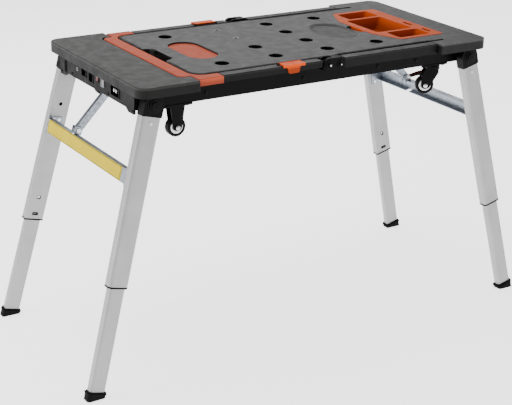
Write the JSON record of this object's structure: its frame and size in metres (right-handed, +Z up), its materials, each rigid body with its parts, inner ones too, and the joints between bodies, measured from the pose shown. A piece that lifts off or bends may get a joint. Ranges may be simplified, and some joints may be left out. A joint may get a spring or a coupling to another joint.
{
  "type": "work platform bench",
  "caption": "Folding work platform bench with moulded top, splayed telescopic legs, tool tray, dog holes, fold-up handle and transport casters.",
  "frame": {"origin": "centre of the table at floor level, standing with the legs out and fully extended", "axes": "+X along the length towards the tool tray, +Y across it away from the front, +Z up"},
  "size_m": [1.4076, 0.5794, 0.784],
  "materials": {
    "deck_grey": "fine moulded texture",
    "end_grey": "fine moulded texture",
    "rail_grey": "fine moulded texture",
    "grip_orange": "satin",
    "catch_orange": "satin",
    "tray_orange": "satin",
    "frame_black": "satin powder coat",
    "moulded_black": "satin",
    "hardware_black": "satin",
    "hardware_zinc": "zinc",
    "trim_grey": "satin",
    "switch_red": "gloss",
    "leg_aluminium": "satin anodised",
    "galvanised": "galvanised",
    "label_yellow": "satin film",
    "foot_rubber": "matte",
    "caster_black": "satin",
    "wheel_rubber": "matte"
  },
  "bodies": {
    "root": {"left_end_top": "end_grey", "top_deck": "deck_grey", "oval_grip_insert": "grip_orange", "tool_tray": "tray_orange", "side_rails": "rail_grey", "side_ledges": "frame_black", "frame_rails": "frame_black", "frame_end_beams": "frame_black", "frame_cross_members": "frame_black", "strut_tracks": "frame_black", "left_fascia": "moulded_black", "right_fascia": "moulded_black", "outlet_sockets": "moulded_black", "outlet_trims": "trim_grey", "hinge_pins": "hardware_black", "hinge_washers": "hardware_black", "knuckle_brackets": "moulded_black", "knuckle_bolts": "hardware_zinc", "rail_bolts": "hardware_black", "rigid_caster_plates": "caster_black", "rigid_caster_forks": "caster_black", "swivel_caster_plates": "caster_black"},
    "rocker": {"rocker_switch": "switch_red"},
    "handle": {"handle_grip": "grip_orange", "handle_arms": "rail_grey"},
    "catch_near": {"latch_near": "catch_orange"},
    "catch_far": {"latch_far": "catch_orange"},
    "left_legs": {"left_leg_tubes": "leg_aluminium", "left_leg_heads": "moulded_black", "left_leg_collars": "moulded_black", "left_crossbar": "galvanised", "left_crossbar_rivets": "hardware_zinc", "crossbar_label": "label_yellow"},
    "right_legs": {"right_leg_tubes": "leg_aluminium", "right_leg_heads": "moulded_black", "right_leg_collars": "moulded_black", "right_crossbar": "galvanised", "right_crossbar_rivets": "hardware_zinc"},
    "left_brace": {"left_strut": "galvanised"},
    "right_brace": {"right_strut": "galvanised"},
    "left_near_lower": {"lower_leg_left_near": "leg_aluminium", "foot_left_near": "foot_rubber"},
    "left_near_button": {"snap_button_left_near": "hardware_zinc"},
    "left_far_lower": {"lower_leg_left_far": "leg_aluminium", "foot_left_far": "foot_rubber"},
    "left_far_button": {"snap_button_left_far": "hardware_zinc"},
    "right_near_lower": {"lower_leg_right_near": "leg_aluminium", "foot_right_near": "foot_rubber"},
    "right_near_button": {"snap_button_right_near": "hardware_zinc"},
    "right_far_lower": {"lower_leg_right_far": "leg_aluminium", "foot_right_far": "foot_rubber"},
    "right_far_button": {"snap_button_right_far": "hardware_zinc"},
    "wheel_ln": {"wheel_left_near": "wheel_rubber"},
    "wheel_lf": {"wheel_left_far": "wheel_rubber"},
    "swivel_near": {"swivel_fork_near": "caster_black"},
    "wheel_rn": {"wheel_right_near": "wheel_rubber"},
    "pedal_near": {"brake_pedal_near": "moulded_black"},
    "swivel_far": {"swivel_fork_far": "caster_black"},
    "wheel_rf": {"wheel_right_far": "wheel_rubber"},
    "pedal_far": {"brake_pedal_far": "moulded_black"}
  },
  "joints": [
    {"name": "handle_fold", "type": "hinge", "parent": "root", "child": "handle", "pos_m": [0.016, 0, 0.765], "axis": [0, 1, 0], "range_deg": [0, 95]},
    {"name": "catch_near_lift", "type": "hinge", "parent": "handle", "child": "catch_near", "pos_m": [-0.0945, -0.227, 0.7815], "axis": [-1, 0, 0], "range_deg": [0, 45]},
    {"name": "catch_far_lift", "type": "hinge", "parent": "handle", "child": "catch_far", "pos_m": [-0.0765, 0.227, 0.7815], "axis": [1, 0, 0], "range_deg": [0, 45]},
    {"name": "rocker_press", "type": "hinge", "parent": "root", "child": "rocker", "pos_m": [-0.519, -0.012, 0.742], "axis": [0, 1, 0], "range_deg": [-6, 6]},
    {"name": "left_legs_fold", "type": "hinge", "parent": "root", "child": "left_legs", "pos_m": [-0.492, 0, 0.7295], "axis": [0, -1, 0], "range_deg": [0, 100.34]},
    {"name": "right_legs_fold", "type": "hinge", "parent": "root", "child": "right_legs", "pos_m": [0.492, 0, 0.7295], "axis": [0, 1, 0], "range_deg": [0, 100.34]},
    {"name": "left_brace_swing", "type": "hinge", "parent": "left_legs", "child": "left_brace", "pos_m": [-0.54276, 0.085, 0.57939], "axis": [0, -1, 0], "range_deg": [-143.43, 0]},
    {"name": "right_brace_swing", "type": "hinge", "parent": "right_legs", "child": "right_brace", "pos_m": [0.54276, 0.085, 0.57939], "axis": [0, 1, 0], "range_deg": [-143.43, 0]},
    {"name": "left_near_leg_slide", "type": "slide", "parent": "left_legs", "child": "left_near_lower", "axis": [0.2473, 0.0543, 0.9674], "range_m": [0, 0.27]},
    {"name": "left_near_button_press", "type": "slide", "parent": "left_near_lower", "child": "left_near_button", "axis": [0.0134, -0.9985, 0.0526], "range_m": [0, 0.0025], "stiffness_N_per_m": 400},
    {"name": "left_far_leg_slide", "type": "slide", "parent": "left_legs", "child": "left_far_lower", "axis": [0.2473, -0.0543, 0.9674], "range_m": [0, 0.27]},
    {"name": "left_far_button_press", "type": "slide", "parent": "left_far_lower", "child": "left_far_button", "axis": [0.0134, 0.9985, 0.0526], "range_m": [0, 0.0025], "stiffness_N_per_m": 400},
    {"name": "right_near_leg_slide", "type": "slide", "parent": "right_legs", "child": "right_near_lower", "axis": [-0.2473, 0.0543, 0.9674], "range_m": [0, 0.27]},
    {"name": "right_near_button_press", "type": "slide", "parent": "right_near_lower", "child": "right_near_button", "axis": [-0.0134, -0.9985, 0.0526], "range_m": [0, 0.0025], "stiffness_N_per_m": 400},
    {"name": "right_far_leg_slide", "type": "slide", "parent": "right_legs", "child": "right_far_lower", "axis": [-0.2473, -0.0543, 0.9674], "range_m": [0, 0.27]},
    {"name": "right_far_button_press", "type": "slide", "parent": "right_far_lower", "child": "right_far_button", "axis": [-0.0134, 0.9985, 0.0526], "range_m": [0, 0.0025], "stiffness_N_per_m": 400},
    {"name": "left_near_wheel_spin", "type": "hinge", "parent": "root", "child": "wheel_ln", "pos_m": [-0.4095, -0.2, 0.6514], "axis": [0, 1, 0], "continuous": true},
    {"name": "left_far_wheel_spin", "type": "hinge", "parent": "root", "child": "wheel_lf", "pos_m": [-0.4095, 0.2, 0.6514], "axis": [0, 1, 0], "continuous": true},
    {"name": "right_near_swivel", "type": "hinge", "parent": "root", "child": "swivel_near", "pos_m": [0.4, -0.203, 0.7], "axis": [0, 0, 1], "continuous": true},
    {"name": "right_near_wheel_spin", "type": "hinge", "parent": "swivel_near", "child": "wheel_rn", "pos_m": [0.38097, -0.19412, 0.6514], "axis": [-0.4226, -0.9063, 0], "continuous": true},
    {"name": "right_near_brake_press", "type": "hinge", "parent": "swivel_near", "child": "pedal_near", "pos_m": [0.39275, -0.19962, 0.6845], "axis": [-0.4226, -0.9063, 0], "range_deg": [0, 4]},
    {"name": "right_far_swivel", "type": "hinge", "parent": "root", "child": "swivel_far", "pos_m": [0.4, 0.203, 0.7], "axis": [0, 0, 1], "continuous": true},
    {"name": "right_far_wheel_spin", "type": "hinge", "parent": "swivel_far", "child": "wheel_rf", "pos_m": [0.38097, 0.19412, 0.6514], "axis": [0.4226, -0.9063, 0], "continuous": true},
    {"name": "right_far_brake_press", "type": "hinge", "parent": "swivel_far", "child": "pedal_far", "pos_m": [0.39275, 0.19962, 0.6845], "axis": [0.4226, -0.9063, 0], "range_deg": [0, 4]}
  ],
  "couplings": [
    {"joint": "left_brace_swing", "follows": "left_legs_fold", "ratio": -1.4294},
    {"joint": "right_brace_swing", "follows": "right_legs_fold", "ratio": -1.4294}
  ]
}
